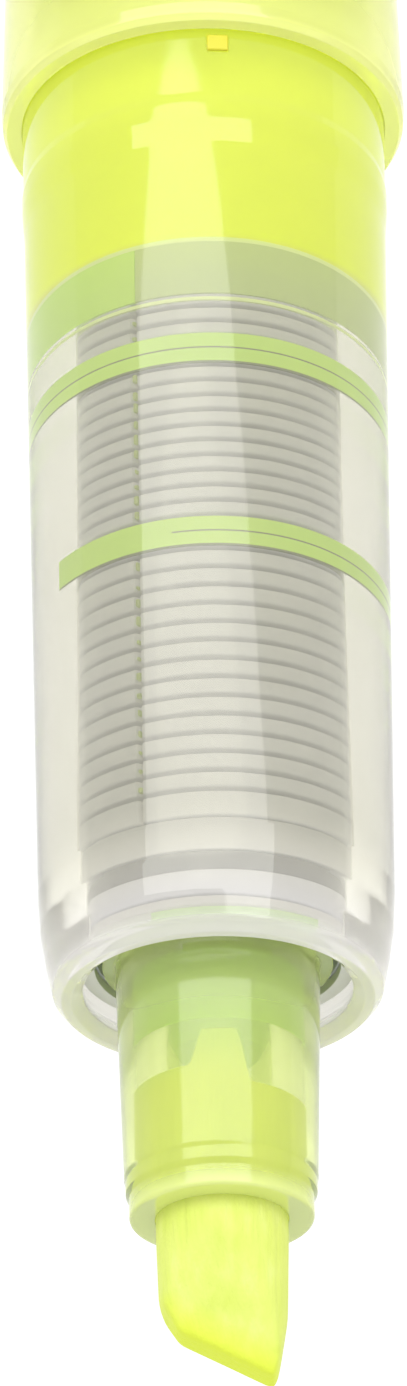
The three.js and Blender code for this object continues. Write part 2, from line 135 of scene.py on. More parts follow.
# ---- materials ----
class Look:
    """A procedural material round one Principled shader."""

    def __init__(self, name, color, roughness, **sockets):
        self.material = bpy.data.materials.new(name)
        self.material.use_nodes = True
        self.tree = self.material.node_tree
        self.shader = self.tree.nodes["Principled BSDF"]
        self.set("Base Color", (*color, 1))
        self.set("Roughness", roughness)
        for socket, value in sockets.items():
            self.set(socket.replace("_", " "), value)
        self.bumps = None

    def set(self, socket, value):
        self.shader.inputs[socket].default_value = value

    def node(self, kind, **values):
        made = self.tree.nodes.new(kind)
        for name, value in values.items():
            made.inputs[name.replace("_", " ")].default_value = value
        return made

    def link(self, source, target):
        self.tree.links.new(source, target)

    def noise(self, scale, stretch=(1, 1, 1), detail=4):
        """Noise in the piece's own coordinates. Scale is in features per metre."""
        coords = self.node("ShaderNodeTexCoord")
        mapping = self.node("ShaderNodeMapping", Scale=stretch)
        texture = self.node(
            "ShaderNodeTexNoise", Scale=scale, Detail=detail, Distortion=0)
        self.link(coords.outputs["Object"], mapping.inputs["Vector"])
        self.link(mapping.outputs["Vector"], texture.inputs["Vector"])
        return texture.outputs["Fac"]

    def ramp(self, factor, stops):
        """A colour ramp. Stops are (position, colour)."""
        ramp = self.node("ShaderNodeValToRGB")
        elements = ramp.color_ramp.elements
        while len(elements) < len(stops):
            elements.new(0.5)
        for element, (position, color) in zip(elements, stops):
            element.position = position
            element.color = (*color, 1)
        self.link(factor, ramp.inputs["Fac"])
        return ramp.outputs["Color"]

    def along(self, start, end, low=0, high=1):
        """A number that goes from low to high between two stations."""
        coords = self.node("ShaderNodeTexCoord")
        split = self.node("ShaderNodeSeparateXYZ")
        span = self.node("ShaderNodeMapRange", To_Min=low, To_Max=high)
        span.interpolation_type = "SMOOTHSTEP"
        span.inputs["From Min"].default_value = TIP_Y + start * MM
        span.inputs["From Max"].default_value = TIP_Y + end * MM
        self.link(coords.outputs["Object"], split.inputs["Vector"])
        self.link(split.outputs["Y"], span.inputs["Value"])
        return span.outputs["Result"]

    def outwards(self, start, end, low=0, high=1):
        """A number that goes from low to high between two radii."""
        coords = self.node("ShaderNodeTexCoord")
        flat = self.node("ShaderNodeMapping", Scale=(1, 0, 1))
        flat.inputs["Location"].default_value = (0, 0, -AXIS_Z)
        radius = self.node("ShaderNodeVectorMath")
        radius.operation = "LENGTH"
        span = self.node("ShaderNodeMapRange", To_Min=low, To_Max=high)
        span.inputs["From Min"].default_value = start * MM
        span.inputs["From Max"].default_value = end * MM
        self.link(coords.outputs["Object"], flat.inputs["Vector"])
        self.link(flat.outputs["Vector"], radius.inputs[0])
        self.link(radius.outputs["Value"], span.inputs["Value"])
        return span.outputs["Result"]

    def slope(self, angle, x, depth):
        """A number that goes from 0 at a slanted end face to 1 at a depth behind it."""
        coords = self.node("ShaderNodeTexCoord")
        reach = self.node("ShaderNodeVectorMath")
        reach.operation = "DOT_PRODUCT"
        backwards = Vector((math.sin(angle), math.cos(angle), 0))
        reach.inputs[1].default_value = backwards
        face = backwards.dot(point(x, 0, 0))
        span = self.node("ShaderNodeMapRange")
        span.inputs["From Min"].default_value = face
        span.inputs["From Max"].default_value = face + depth * MM
        self.link(coords.outputs["Object"], reach.inputs[0])
        self.link(reach.outputs["Value"], span.inputs["Value"])
        return span.outputs["Result"]

    def mixed(self, factor, first, second):
        """A colour that goes from the first to the second. Each is a colour or an output."""
        mix = self.node("ShaderNodeMix")
        mix.data_type = "RGBA"
        self.link(factor, mix.inputs["Factor"])
        for source, socket in ((first, mix.inputs[6]), (second, mix.inputs[7])):
            if isinstance(source, tuple):
                socket.default_value = (*source, 1)
            else:
                self.link(source, socket)
        return mix.outputs[2]

    def vary_color(self, stops, scale, stretch=(1, 1, 1)):
        """Mottles the base colour, and returns the mottled colour's output."""
        color = self.ramp(self.noise(scale, stretch), stops)
        self.link(color, self.shader.inputs["Base Color"])
        return color

    def vary_roughness(self, low, high, scale, stretch=(1, 1, 1)):
        """Mottles the roughness between two values."""
        span = self.node("ShaderNodeMapRange", To_Min=low, To_Max=high)
        self.link(self.noise(scale, stretch), span.inputs["Value"])
        self.link(span.outputs["Result"], self.shader.inputs["Roughness"])
        return self

    def bump(self, scale, distance, strength=1, stretch=(1, 1, 1), detail=4):
        """Adds a layer of bump, with its distance in metres."""
        bump = self.node("ShaderNodeBump", Strength=strength, Distance=distance)
        self.link(self.noise(scale, stretch, detail), bump.inputs["Height"])
        if self.bumps:
            self.link(self.bumps, bump.inputs["Normal"])
        self.bumps = bump.outputs["Normal"]
        self.link(self.bumps, self.shader.inputs["Normal"])
        return self


def clear_look(name, color, tint, clarity, roughness=0.02):
    """Clear moulded plastic, a little milky, with faint flow lines and hairline wear."""
    look = Look(name, color, roughness, Transmission_Weight=clarity, IOR=1.5)
    look.mottled = look.vary_color([(0.3, color), (0.7, tint)], 260)
    look.vary_roughness(roughness, roughness + 0.04, 3200, (1, 0.03, 1))
    look.bump(420, 0.00004, 0.25, (1, 0.25, 1), 2)
    look.bump(5200, 0.000004, 0.2, (1, 0.02, 1), 2)
    return look


def section_look():
    """The clear section: milky at its rim, tinted yellow where it holds ink, and with a
    painted glow just behind its rim that stands in for light scattered in the milky plastic.
    """
    look = clear_look("clear_plastic", CLEAR_TINT, CLEAR_SHADE, 0.86)
    mouth = look.mixed(look.along(MOUTH + 0.5, MOUTH + 3), MOUTH_TINT, look.mottled)
    lit = look.mixed(look.along(COMB_END - 0.75, COMB_END - 0.4), mouth, INK_TINT)
    look.link(lit, look.shader.inputs["Base Color"])
    clarity = look.along(MOUTH + 0.1, MOUTH + 0.8, 0.55, 0.86)
    look.link(clarity, look.shader.inputs["Transmission Weight"])
    # Painted glow: emission over the front few millimetres, standing in for light scattered
    # in the milky rim.
    look.set("Emission Color", (1, 0.98, 0.93, 1))
    glow = look.along(MOUTH + 2.6, MOUTH + 4.2, 0.075, 0)
    look.link(glow, look.shader.inputs["Emission Strength"])
    return look.material


def tube_look():
    """The barrel's translucent yellow, cloudier at its moulded lip, where a painted glow
    lifts the shade that the lip would hold.
    """
    look = clear_look("yellow_tube", (0.85, 0.885, 0.3), (0.82, 0.86, 0.26), 0.7, 0.05)
    clarity = look.along(SHOULDER, SHOULDER + 2.5, 0.5, 0.7)
    look.link(clarity, look.shader.inputs["Transmission Weight"])
    # Painted glow, strongest on the lip's front face, that lifts the shade there.
    look.set("Emission Color", (0.92, 0.94, 0.5, 1))
    glow = look.along(SHOULDER - 0.1, SHOULDER + 0.25, 0.14, 0.02)
    look.link(glow, look.shader.inputs["Emission Strength"])
    return look.material


def tank_look():
    """The ink in the tank, with a painted glow that grows towards the barrel's lip and
    stands in for light coming through the lip.
    """
    look = Look("ink", (0.84, 0.91, 0.04), 0.25)
    look.vary_color([(0.3, (0.84, 0.91, 0.04)), (0.7, (0.8, 0.88, 0.03))], 300)
    look.vary_roughness(0.25, 0.4, 1500)
    look.bump(1500, 0.00001, 0.3)
    # Fluorescence, and a painted glow that rises towards the lip and lifts the shade under
    # it.
    look.set("Emission Color", (0.85, 0.95, 0.04, 1))
    glow = look.along(SHOULDER - 3.5, SHOULDER, 0.14, 0.34)
    look.link(glow, look.shader.inputs["Emission Strength"])
    return look.material


def shank_look():
    """The nib's wet shank: bright yellow, turning green towards its ragged tail."""
    look = Look("shank_fibre", (0.8, 0.86, 0.07), 0.6)
    body = look.ramp(
        look.noise(900, (1, 0.2, 1)), [(0.3, (0.82, 0.87, 0.08)), (0.7, (0.72, 0.79, 0.04))])
    tail = look.mixed(look.along(TAIL_START, TAIL_END), body, (0.62, 0.78, 0.12))
    look.link(tail, look.shader.inputs["Base Color"])
    look.bump(5200, 0.00006, 0.4, (1, 0.1, 1))
    look.set("Emission Color", (0.9, 1.0, 0.1, 1))
    look.set("Emission Strength", 0.1)
    return look.material


def holder_look():
    """The nib holder's plastic: clear yellow at its front, milky green behind."""
    look = clear_look("holder_plastic", HOLDER_TINT, HOLDER_SHADE, 0.8, 0.09)
    greener = look.mixed(
        look.along(GREEN_START, GREEN_END), look.mottled, HOLDER_GREEN)
    look.link(greener, look.shader.inputs["Base Color"])
    clarity = look.node("ShaderNodeMath")
    clarity.operation = "MINIMUM"
    look.link(look.along(HAZE_START, HAZE_END, 0.78, 0.6), clarity.inputs[0])
    front_haze = look.along(HOLDER_FRONT, HOLDER_FRONT + 0.7, 0.4, 0.78)
    look.link(front_haze, clarity.inputs[1])
    look.link(clarity.outputs[0], look.shader.inputs["Transmission Weight"])
    return look.material


def grained_look(name, color, shade, roughness):
    """Opaque moulded plastic, with a fine grain and a little mottling."""
    look = Look(name, color, roughness)
    look.vary_color([(0.35, color), (0.7, shade)], 700)
    look.vary_roughness(roughness - 0.05, roughness + 0.1, 2500)
    look.bump(9000, 0.00001, 0.5)
    return look


def solid_look(name, color, shade, roughness):
    """The material of a grained look."""
    return grained_look(name, color, shade, roughness).material


def comb_look():
    """The comb's white plastic, with a painted bluish glow on its fins' rims that stands in
    for light from the wall round them.
    """
    look = grained_look("comb_plastic", (0.94, 0.94, 1.0), (0.89, 0.89, 0.95), 0.4)
    # Painted glow on the fins' rims and none in the grooves, so the grooves read as shade.
    look.set("Emission Color", (0.5, 0.56, 0.85, 1))
    rim = look.outwards(FIN_RADIUS - 0.12, FIN_RADIUS, 0, 0.14)
    look.link(rim, look.shader.inputs["Emission Strength"])
    return look.material


def glow_look(name, color, shade, glow, strength):
    """Fluorescent ink, or plastic wetted by it. It gives back a little more light. It also
    makes the films of painted shade and painted highlight.
    """
    look = Look(name, color, 0.25)
    look.vary_color([(0.3, color), (0.7, shade)], 300, (1, 0.5, 1))
    look.vary_roughness(0.25, 0.4, 1500)
    look.bump(1500, 0.00001, 0.3)
    look.set("Emission Color", (*glow, 1))
    look.set("Emission Strength", strength)
    return look.material


def fibre_look():
    """Bonded fibres of the nib, full of ink: long grain with small pits."""
    look = Look("nib_fibre", (0.6, 0.68, 0.13), 0.75)
    body = look.vary_color(
        [(0.25, (0.54, 0.64, 0.1)), (0.55, (0.6, 0.68, 0.14)), (0.8, (0.64, 0.71, 0.21))],
        1800, (1, 0.4, 1))
    # Painted shade: a darker, more saturated band along the slanted end face, for the shade
    # on its facet.
    edge = look.slope(SLANT, POINT_X, 0.9)
    shaded_fibre = look.mixed(edge, (0.62, 0.72, 0.035), body)
    look.link(shaded_fibre, look.shader.inputs["Base Color"])
    look.bump(5200, 0.00012, 0.5, (1, 0.08, 1))
    look.bump(11000, 0.00004, 0.35, (1, 0.7, 1))
    look.set("Emission Color", (0.85, 0.98, 0.15, 1))
    look.set("Emission Strength", 0.05)
    return look.material


def steel_look():
    """Drawn spring wire, with fine die lines."""
    look = Look("spring_steel", (0.6, 0.6, 0.62), 0.25, Metallic=1)
    look.vary_color([(0.3, (0.62, 0.62, 0.64)), (0.7, (0.5, 0.5, 0.52))], 1500)
    look.vary_roughness(0.18, 0.35, 3000)
    look.bump(8000, 0.000006, 0.4, (1, 1, 1))
    return look.material


CLEAR_TINT = (0.745, 0.73, 0.63)
CLEAR_SHADE = (0.715, 0.7, 0.59)
MOUTH_TINT = (0.8, 0.785, 0.76)
INK_TINT = (0.88, 0.92, 0.33)
HOLDER_TINT = (0.81, 0.88, 0.38)
HOLDER_SHADE = (0.77, 0.85, 0.33)
HOLDER_GREEN = (0.73, 0.84, 0.35)
CLEAR = section_look()
YELLOW_TUBE = tube_look()
HOLDER = holder_look()
WHITE = solid_look("white_plastic", (0.8, 0.8, 0.77), (0.76, 0.76, 0.73), 0.4)
COMB = comb_look()
BUSH = solid_look("bush_plastic", (0.77, 0.78, 0.89), (0.72, 0.73, 0.84), 0.35)
GREY = solid_look("grey_plastic", (0.55, 0.56, 0.53), (0.5, 0.51, 0.48), 0.4)
YELLOW = solid_look("yellow_plastic", (0.62, 0.67, 0.05), (0.57, 0.62, 0.04), 0.32)
PALE_SEAL = solid_look("pale_seal", (0.75, 0.78, 0.5), (0.7, 0.73, 0.45), 0.5)
GREY_SEAL = solid_look("grey_seal", (0.15, 0.15, 0.155), (0.13, 0.13, 0.135), 0.5)
RUBBER = solid_look("seal_rubber", (0.09, 0.085, 0.075), (0.07, 0.066, 0.06), 0.65)
INK = tank_look()
WET_GREEN = glow_look(
    "wet_green", (0.64, 0.86, 0.17), (0.57, 0.81, 0.12), (0.56, 0.9, 0.12), 0.19)
WET_PLUG = glow_look(
    "wet_plug", (0.67, 0.78, 0.33), (0.61, 0.74, 0.28), (0.6, 0.8, 0.3), 0.05)
CORE_GREEN = glow_look(
    "core_green", (0.45, 0.7, 0.07), (0.59, 0.77, 0.14), (0.45, 0.8, 0.08), 0.07)
MOUTH_FILM = glow_look(
    "mouth_film", (0.62, 0.78, 0.4), (0.56, 0.74, 0.34), (0.6, 0.85, 0.35), 0.05)
# Painted highlight: the bright line where the ink meets the plug and the comb.
INK_HIGHLIGHT = glow_look(
    "painted_ink_highlight", (0.82, 0.92, 0.45), (0.78, 0.9, 0.4), (0.85, 0.95, 0.5), 0.16)
BAND_SHADE = glow_look(
    "band_shade", (0.3, 0.34, 0.14), (0.26, 0.3, 0.12), (0.3, 0.4, 0.1), 0.01)
SLIT_INK = glow_look(
    "slit_ink", (0.66, 0.78, 0.3), (0.6, 0.74, 0.22), (0.7, 0.9, 0.2), 0.06)
SHANK = shank_look()
KEY_YELLOW = glow_look(
    "key_yellow", (0.64, 0.6, 0.03), (0.6, 0.56, 0.025), (0.9, 0.85, 0.1), 0.01)


FIBRE = fibre_look()
STEEL = steel_look()


# ---- pieces ----
def place(obj, material, body, nodes=()):
    """Gives a piece its material, its body and the CAD nodes it stands for."""
    obj.data.materials.clear()
    obj.data.materials.append(material)
    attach(obj, body)
    if nodes:
        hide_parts(*nodes)
    return obj


def mesh_object(name, verts, faces, sharp=35):
    """An object of one mesh, smooth apart from edges sharper than that angle."""
    mesh = bpy.data.meshes.new(name)
    mesh.from_pydata(verts, [], faces)
    shape = bmesh.new()
    shape.from_mesh(mesh)
    bmesh.ops.recalc_face_normals(shape, faces=shape.faces)
    shape.to_mesh(mesh)
    shape.free()
    mesh.shade_smooth()
    mesh.set_sharp_from_angle(angle=math.radians(sharp))
    obj = bpy.data.objects.new(name, mesh)
    bpy.context.scene.collection.objects.link(obj)
    return obj


def rounded(outline, closed, steps=5):
    """The outline with an arc at each corner that has a rounding."""
    points = []
    count = len(outline)
    for i, spot in enumerate(outline):
        here = Vector(spot[:2])
        rounding = spot[2] if len(spot) > 2 else 0
        if rounding == 0 or (not closed and i in (0, count - 1)):
            points.append(here)
            continue
        before = Vector(outline[i - 1][:2])
        after = Vector(outline[(i + 1) % count][:2])
        a, b = before - here, after - here
        half = a.angle(b) / 2
        reach = min(rounding / math.tan(half), 0.49 * a.length, 0.49 * b.length)
        start = here + a.normalized() * reach
        end = here + b.normalized() * reach
        for k in range(steps + 1):
            t = k / steps
            points.append((1 - t) ** 2 * start + 2 * t * (1 - t) * here + t * t * end)
    return points


SUPPORT = 0.1            # how far in from a long run's ends its extra points stand


def supported(points, closed):
    """Adds points near the ends of long runs, so that they keep flat normals."""
    found = []
    following = points[1:] + points[:1]
    for a, b in zip(points, following):
        found.append(a)
        run = b - a
        if run.length > 3 * SUPPORT and (closed or a is not points[-1]):
            found.append(a + run.normalized() * SUPPORT)
            found.append(b - run.normalized() * SUPPORT)
    return found


def turned(name, outline, sides=SIDES, radius_at=None):
    """A turned piece. A ring's outline closes on itself, and a solid's starts and ends
    on the axis. radius_at(angle, radius, station) may change the radius."""
    closed = outline[0][1] > 0
    points = supported(rounded(outline, closed), closed)
    verts, faces, rows = [], [], []
    for station, radius in points:
        if radius <= 0:
            rows.append([len(verts)] * sides)
            verts.append(point(0, station, 0))
            continue
        row = []
        for j in range(sides):
            angle = 2 * math.pi * j / sides
            r = radius_at(angle, radius, station) if radius_at else radius
            row.append(len(verts))
            verts.append(point(r * math.sin(angle), station, r * math.cos(angle)))
        rows.append(row)
    pairs = zip(rows, rows[1:] + rows[:1]) if closed else zip(rows, rows[1:])
    for row, following in pairs:
        for j in range(sides):
            k = (j + 1) % sides
            face = [row[j], row[k], following[k], following[j]]
            face = list(dict.fromkeys(face))
            if len(face) > 2:
                faces.append(face)
    return mesh_object(name, verts, faces)


def ring(name, station, radius, thickness, sides=96):
    """A round ring of a round section, such as an O-ring."""
    outline = []
    steps = 16
    for i in range(steps):
        turn = 2 * math.pi * i / steps
        outline.append(
            (station + thickness * math.sin(turn), radius + thickness * math.cos(turn)))
    return turned(name, outline, sides)


# ---- the clear front section ----
def taper(station):
    """The section's radius between its rounded mouth and its shoulder."""
    t = (station - TAPER_END) / (SHOULDER - TAPER_END)
    return TAPER_RADIUS + (SECTION_RADIUS - TAPER_RADIUS) * t


BEAD = (SHOULDER - 4.35, SHOULDER - 3.5, SHOULDER - 2.9, SHOULDER - 2.6)
BEAD_RISE = 0.05
SPIGOT = 5.44            # the radius of the section's tail, inside the barrel
MOUTH_RADIUS = 4.05
LIP_FRONT = SHOULDER - 0.17
LIP_OVERLAP = 0.6        # how far the section runs into the barrel's mouth
SECTION_SEAL = middle_of("section_seal")
SEAL_GROOVE = 0.4        # half the width of an O-ring's groove
SEAL_DEPTH = 0.51
section = turned("clear_section", [
    (MOUTH + 0.28, MOUTH_RADIUS, 0.06),
    (MOUTH, MOUTH_RADIUS + 0.35, 0.15),
    (MOUTH, TAPER_RADIUS - 0.7, 0.12),
    (MOUTH + 0.3, TAPER_RADIUS - 0.42, 0.3),
    (MOUTH + 1.2, TAPER_RADIUS - 0.23, 0.6),
    (MOUTH + 2.2, TAPER_RADIUS - 0.07, 0.6),
    (TAPER_END, taper(TAPER_END), 1),
    (BEAD[0], taper(BEAD[0]), 0.1),
    (BEAD[1], taper(BEAD[1]) + BEAD_RISE, 0.1),
    (BEAD[2], taper(BEAD[2]) + BEAD_RISE, 0.1),
    (BEAD[3], taper(BEAD[3]), 0.1),
    (LIP_FRONT + LIP_OVERLAP, SECTION_RADIUS),
    (LIP_FRONT + LIP_OVERLAP, SPIGOT),
    (SECTION_SEAL - SEAL_GROOVE, SPIGOT),
    (SECTION_SEAL - SEAL_GROOVE, SPIGOT - SEAL_DEPTH),
    (SECTION_SEAL + SEAL_GROOVE, SPIGOT - SEAL_DEPTH),
    (SECTION_SEAL + SEAL_GROOVE, SPIGOT),
    (SPIGOT_END - 0.3, SPIGOT),
    (SPIGOT_END, SPIGOT - 0.3),
    (SPIGOT_END, BORE + 0.1),
    (SPIGOT_END - 0.3, BORE),
    (MOUTH + 0.7, BORE, 0.1),
    (MOUTH + 0.5, MOUTH_RADIUS, 0.06),
])
place(section, CLEAR, "casing", ["front_section"])
section_ring = ring("section_ring", SECTION_SEAL, SPIGOT - 0.24, 0.27)
place(section_ring, PALE_SEAL, "casing", ["section_seal"])


def bent_block(name, r0, r1, middle, width, start, end, steps=8):
    """A block bent round the axis, with softened edges. Its angles are from the top."""
    verts, faces = [], []
    for i in range(steps + 1):
        angle = middle + width * (i / steps - 0.5)
        for radius, station in ((r0, start), (r1, start), (r1, end), (r0, end)):
            verts.append(point(
                radius * math.sin(angle), station, radius * math.cos(angle)))
    for i in range(steps):
        for k in range(4):
            a, b = 4 * i + k, 4 * i + (k + 1) % 4
            faces.append([a, b, b + 4, a + 4])
    last = 4 * steps
    faces += [[3, 2, 1, 0], [last, last + 1, last + 2, last + 3]]
    obj = mesh_object(name, verts, faces)
    bevel = obj.modifiers.new("soft edges", "BEVEL")
    bevel.width = 0.05 * MM
    bevel.segments = 3
    return obj


key = bent_block(
    "raised_key", SECTION_RADIUS - 0.06, SECTION_RADIUS + 0.07, 0.075, 0.115,
    LIP_FRONT - 0.82, LIP_FRONT - 0.24)
place(key, KEY_YELLOW, "casing")

barrel = turned("barrel_tube", [
    (LIP_FRONT, SECTION_RADIUS + 0.03),
    (LIP_FRONT, LIP_RADIUS - 0.17, 0.06),
    (LIP_FRONT + 0.2, LIP_RADIUS - 0.04, 0.15),
    (LIP_FRONT + 0.6, LIP_RADIUS, 0.2),
    (SPIGOT_END, LIP_RADIUS - 0.12, 3),
    (SPIGOT_END + 8, BARREL_RADIUS + 0.12, 8),
    (SPIGOT_END + 18, BARREL_RADIUS, 8),
    (BARREL_END, BARREL_RADIUS, 0.1),
    (BARREL_END, BARREL_BORE),
    (LIP_FRONT + LIP_OVERLAP + 0.05, BARREL_BORE),
    (LIP_FRONT + LIP_OVERLAP + 0.05, SECTION_RADIUS + 0.03),
])
place(barrel, YELLOW_TUBE, "casing", ["barrel"])

# ---- the ink ----
TUBE_HOLE = 1.62
tank = turned("tank_ink", [
    (COMB_END + 0.05, TUBE_HOLE),
    (COMB_END + 0.05, BORE + WET),
    (SPIGOT_END + 0.05, BORE + WET),
    (SPIGOT_END + 0.05, BARREL_BORE + WET, 0.3),
    (INK_END, BARREL_BORE + WET),
    (INK_END, TUBE_HOLE),
])
place(tank, INK, "casing", ["ink_charge"])

# ---- the comb ----
# Sixteen narrow grooves stand in front of the plug, and fourteen wider ones before them.
REAR_GROOVES = (16, 33.8, 0.534)
FRONT_GROOVES = (14, 25.17, 0.629)
GROOVE_WIDTH = 0.14
GROOVE_DEPTH = 0.38
CORE_BORE = 3.65
COMB_FACE = COMB_FRONT + 0.11
SLIT_ANGLE = -0.51
SLIT_HALF_WIDTH = 0.013  # as an angle
SLIT_DEPTH = 0.15
COMB_PLUG = 2.1          # the length of the plug behind the grooves


def groove_stations():
    found = []
    for count, first, pitch in (REAR_GROOVES, FRONT_GROOVES):
        found += [first - pitch * i for i in range(count)]
    return sorted(found)


def slit(angle, radius, station):
    """The capillary slit: a narrow groove that runs along the fins."""
    off = abs((angle - SLIT_ANGLE + math.pi) % (2 * math.pi) - math.pi)
    on_a_fin = radius > FIN_RADIUS - 0.1
    return radius - SLIT_DEPTH if off < SLIT_HALF_WIDTH and on_a_fin else radius


def comb():
    plug = COMB_END - COMB_PLUG
    outline = [(COMB_FACE, CORE_BORE), (COMB_FACE, FIN_RADIUS, 0.1)]
    for station in groove_stations():
        start, end = station - GROOVE_WIDTH / 2, station + GROOVE_WIDTH / 2
        outline += [
            (start, FIN_RADIUS, 0.09),
            (start, FIN_RADIUS - GROOVE_DEPTH),
            (end, FIN_RADIUS - GROOVE_DEPTH),
            (end, FIN_RADIUS, 0.09),
        ]
    outline += [
        (COMB_END, FIN_RADIUS),
        (COMB_END, TUBE_HOLE),
        (plug, TUBE_HOLE),
        (plug, CORE_BORE),
    ]
    return turned("ink_comb", outline, 256, slit)


place(comb(), COMB, "casing", ["collector"])


def film(name, start, end, material, first=0, last=2 * math.pi, sides=SIDES):
    """A film of ink between a fin and the wall, from one angle to another."""
    whole = last - first >= 2 * math.pi - 1e-6
    count = sides if whole else max(8, int(sides * (last - first) / (2 * math.pi)))
    inner, outer = FIN_RADIUS - 0.02, BORE + WET
    corners = [(start, inner), (start, outer), (end, outer), (end, inner)]
    verts, faces = [], []
    for j in range(count + (0 if whole else 1)):
        angle = first + (last - first) * j / count
        for station, radius in corners:
            verts.append(point(
                radius * math.sin(angle), station, radius * math.cos(angle)))
    total = len(verts)
    for j in range(count):
        for k in range(4):
            a, b = 4 * j + k, 4 * j + (k + 1) % 4
            faces.append([a, b, (b + 4) % total, (a + 4) % total])
    if not whole:
        faces += [[0, 1, 2, 3], [total - 1, total - 2, total - 3, total - 4]]
    return place(mesh_object(name, verts, faces), material, "casing")


# Each film is (name, start, end, material), and then its first and last angles unless
# it goes all the way round. The bands' lines and edges are painted shade that each band
# throws, and the plug's and the comb's edges are painted highlights.
FILMS = [
    ("plug_film", COMB_END - 2.0, COMB_END - 0.1, WET_PLUG, -0.49, 4.55),
    ("plug_film_green", COMB_END - 2.0, COMB_END - 0.1, WET_GREEN, 4.55, 5.79),
    ("plug_highlight", COMB_END - 0.1, COMB_END + 0.06, INK_HIGHLIGHT),
    ("comb_highlight", COMB_END - 2.25, COMB_END - 2.13, INK_HIGHLIGHT),
    ("band_rear_a", 32.26, 32.75, WET_GREEN),
    ("band_rear_line", 32.21, 32.26, BAND_SHADE),
    ("band_rear_b", 31.75, 32.21, WET_GREEN),
    ("band_rear_edge", 31.7, 31.75, BAND_SHADE),
    ("band_front_start", 25.28, 26.23, WET_GREEN, -1.2, -0.26),
    ("band_front_a", 25.76, 26.23, WET_GREEN, -0.26, 3.2),
    ("band_front_line", 25.71, 25.76, BAND_SHADE, -0.26, 3.2),
    ("band_front_b", 25.28, 25.71, WET_GREEN, -0.26, 3.2),
    ("band_front_edge", 25.23, 25.28, BAND_SHADE, -1.2, 3.2),
]
for row in FILMS:
    film(*row)


def slit_ink():
    """Traces of ink that the slit has drawn along, as small ragged beads."""
    random.seed(7)
    beads = []
    for station in groove_stations()[:-1]:
        length = random.uniform(0.08, 0.34)
        start = station + 0.12 + random.uniform(0, 0.1)
        beads.append(bent_block(
            f"slit_bead_{len(beads)}", FIN_RADIUS - 0.1, FIN_RADIUS + 0.03,
            SLIT_ANGLE, random.uniform(0.012, 0.03), start, start + length, 4))
    whole = beads[0]
    with bpy.context.temp_override(
            active_object=whole, selected_editable_objects=beads):
        bpy.ops.object.join()
    whole.name = "slit_ink"
    return whole


place(slit_ink(), SLIT_INK, "casing")

# ---- the nose of the section ----
NOSE_FRONT = front("nose_bush")
NOSE_SEAL = middle_of("nose_seal") + 0.22
bush = turned("nose_bush_ring", [
    (NOSE_FRONT, CORE_BORE),
    (NOSE_FRONT, FIN_RADIUS, 0.08),
    (NOSE_SEAL - 0.3, FIN_RADIUS, 0.05),
    (NOSE_SEAL - 0.3, FIN_RADIUS - 0.25),
    (NOSE_SEAL + 0.3, FIN_RADIUS - 0.25),
    (NOSE_SEAL + 0.3, FIN_RADIUS, 0.05),
    (COMB_FACE - 0.06, FIN_RADIUS, 0.08),
    (COMB_FACE - 0.06, CORE_BORE),
])
place(bush, BUSH, "casing", ["nose_bush"])
nose_ring = turned("nose_seal_ring", [
    (NOSE_SEAL - 0.28, FIN_RADIUS - 0.22),
    (NOSE_SEAL - 0.28, FIN_RADIUS - 0.05, 0.08),
    (NOSE_SEAL, FIN_RADIUS),
    (NOSE_SEAL + 0.28, FIN_RADIUS - 0.05, 0.08),
    (NOSE_SEAL + 0.28, FIN_RADIUS - 0.22),
])
place(nose_ring, GREY_SEAL, "casing", ["nose_seal"])
film("mouth_film", MOUTH + 0.75, MOUTH + 1.0, MOUTH_FILM, -0.45, 0.7)
WIPER = front("wiper_seal")
wiper = turned("wiper_ring", [
    (WIPER, CORE_BORE + 0.05),
    (WIPER, FIN_RADIUS, 0.06),
    (WIPER + 0.3, FIN_RADIUS, 0.06),
    (WIPER + 0.3, CORE_BORE + 0.05),
])
place(wiper, WHITE, "casing", ["wiper_seal"])

# ---- the holder and the nib, which slide ----
NIB_RADIUS = 1.95
SHANK_RADIUS = 1.6
SHANK_FRONT = 6.7
LIP = 2.72
HOLDER_RADIUS = 3.08
FLANGE = 3.47
RIDGE = HOLDER_FRONT + 1.22    # a small step round the holder
holder = turned("nib_holder_shell", [
    (HOLDER_FRONT, NIB_RADIUS, 0.03),
    (HOLDER_FRONT, LIP, 0.12),
    (HOLDER_FRONT + 0.66, LIP, 0.06),
    (HOLDER_FRONT + 0.82, LIP + 0.1, 0.06),
    (RIDGE, LIP + 0.115),
    (RIDGE + 0.06, LIP + 0.14),
    (NIB_TAIL, HOLDER_RADIUS - 0.05),
    (HOLDER_END - 0.65, HOLDER_RADIUS, 0.1),
    (HOLDER_END - 0.65, FLANGE, 0.06),
    (HOLDER_END, FLANGE, 0.06),
    (HOLDER_END, SHANK_RADIUS),
    (SHANK_FRONT, SHANK_RADIUS),
    (SHANK_FRONT, NIB_RADIUS),
])
place(holder, HOLDER, "carrier", ["nib_holder"])


def cut_away(shape, spot, normal):
    """Cuts off what lies on the normal's side of a plane, and closes the cut."""
    everything = shape.verts[:] + shape.edges[:] + shape.faces[:]
    cut = bmesh.ops.bisect_plane(
        shape, geom=everything, plane_co=spot, plane_no=normal, clear_outer=True)
    rim = [e for e in cut["geom_cut"] if isinstance(e, bmesh.types.BMEdge)]
    bmesh.ops.contextual_create(shape, geom=rim)


def applied(obj):
    """The object with its modifiers made part of its mesh."""
    graph = bpy.context.evaluated_depsgraph_get()
    mesh = bpy.data.meshes.new_from_object(obj.evaluated_get(graph))
    obj.modifiers.clear()
    obj.data = mesh
    return obj


BEVEL = math.pi / 2 - 1.16     # of the chisel's top and bottom, from the axis
BEVEL_LENGTH = 3.4
NIB_TAPER = 0.14               # how much narrower the rod is at its tip
NIB_TAPER_END = 4.5
NIB_TRIMS = [                  # (x, station, turn) of the planes that shape its outline
    (POINT_X, 0, 1.15),
    (1.72, 1.2, 1.38),
    (-1.55, 1.85, -1.05),
]
VOXEL = 0.07 * MM              # of the remesh that evens the nib out


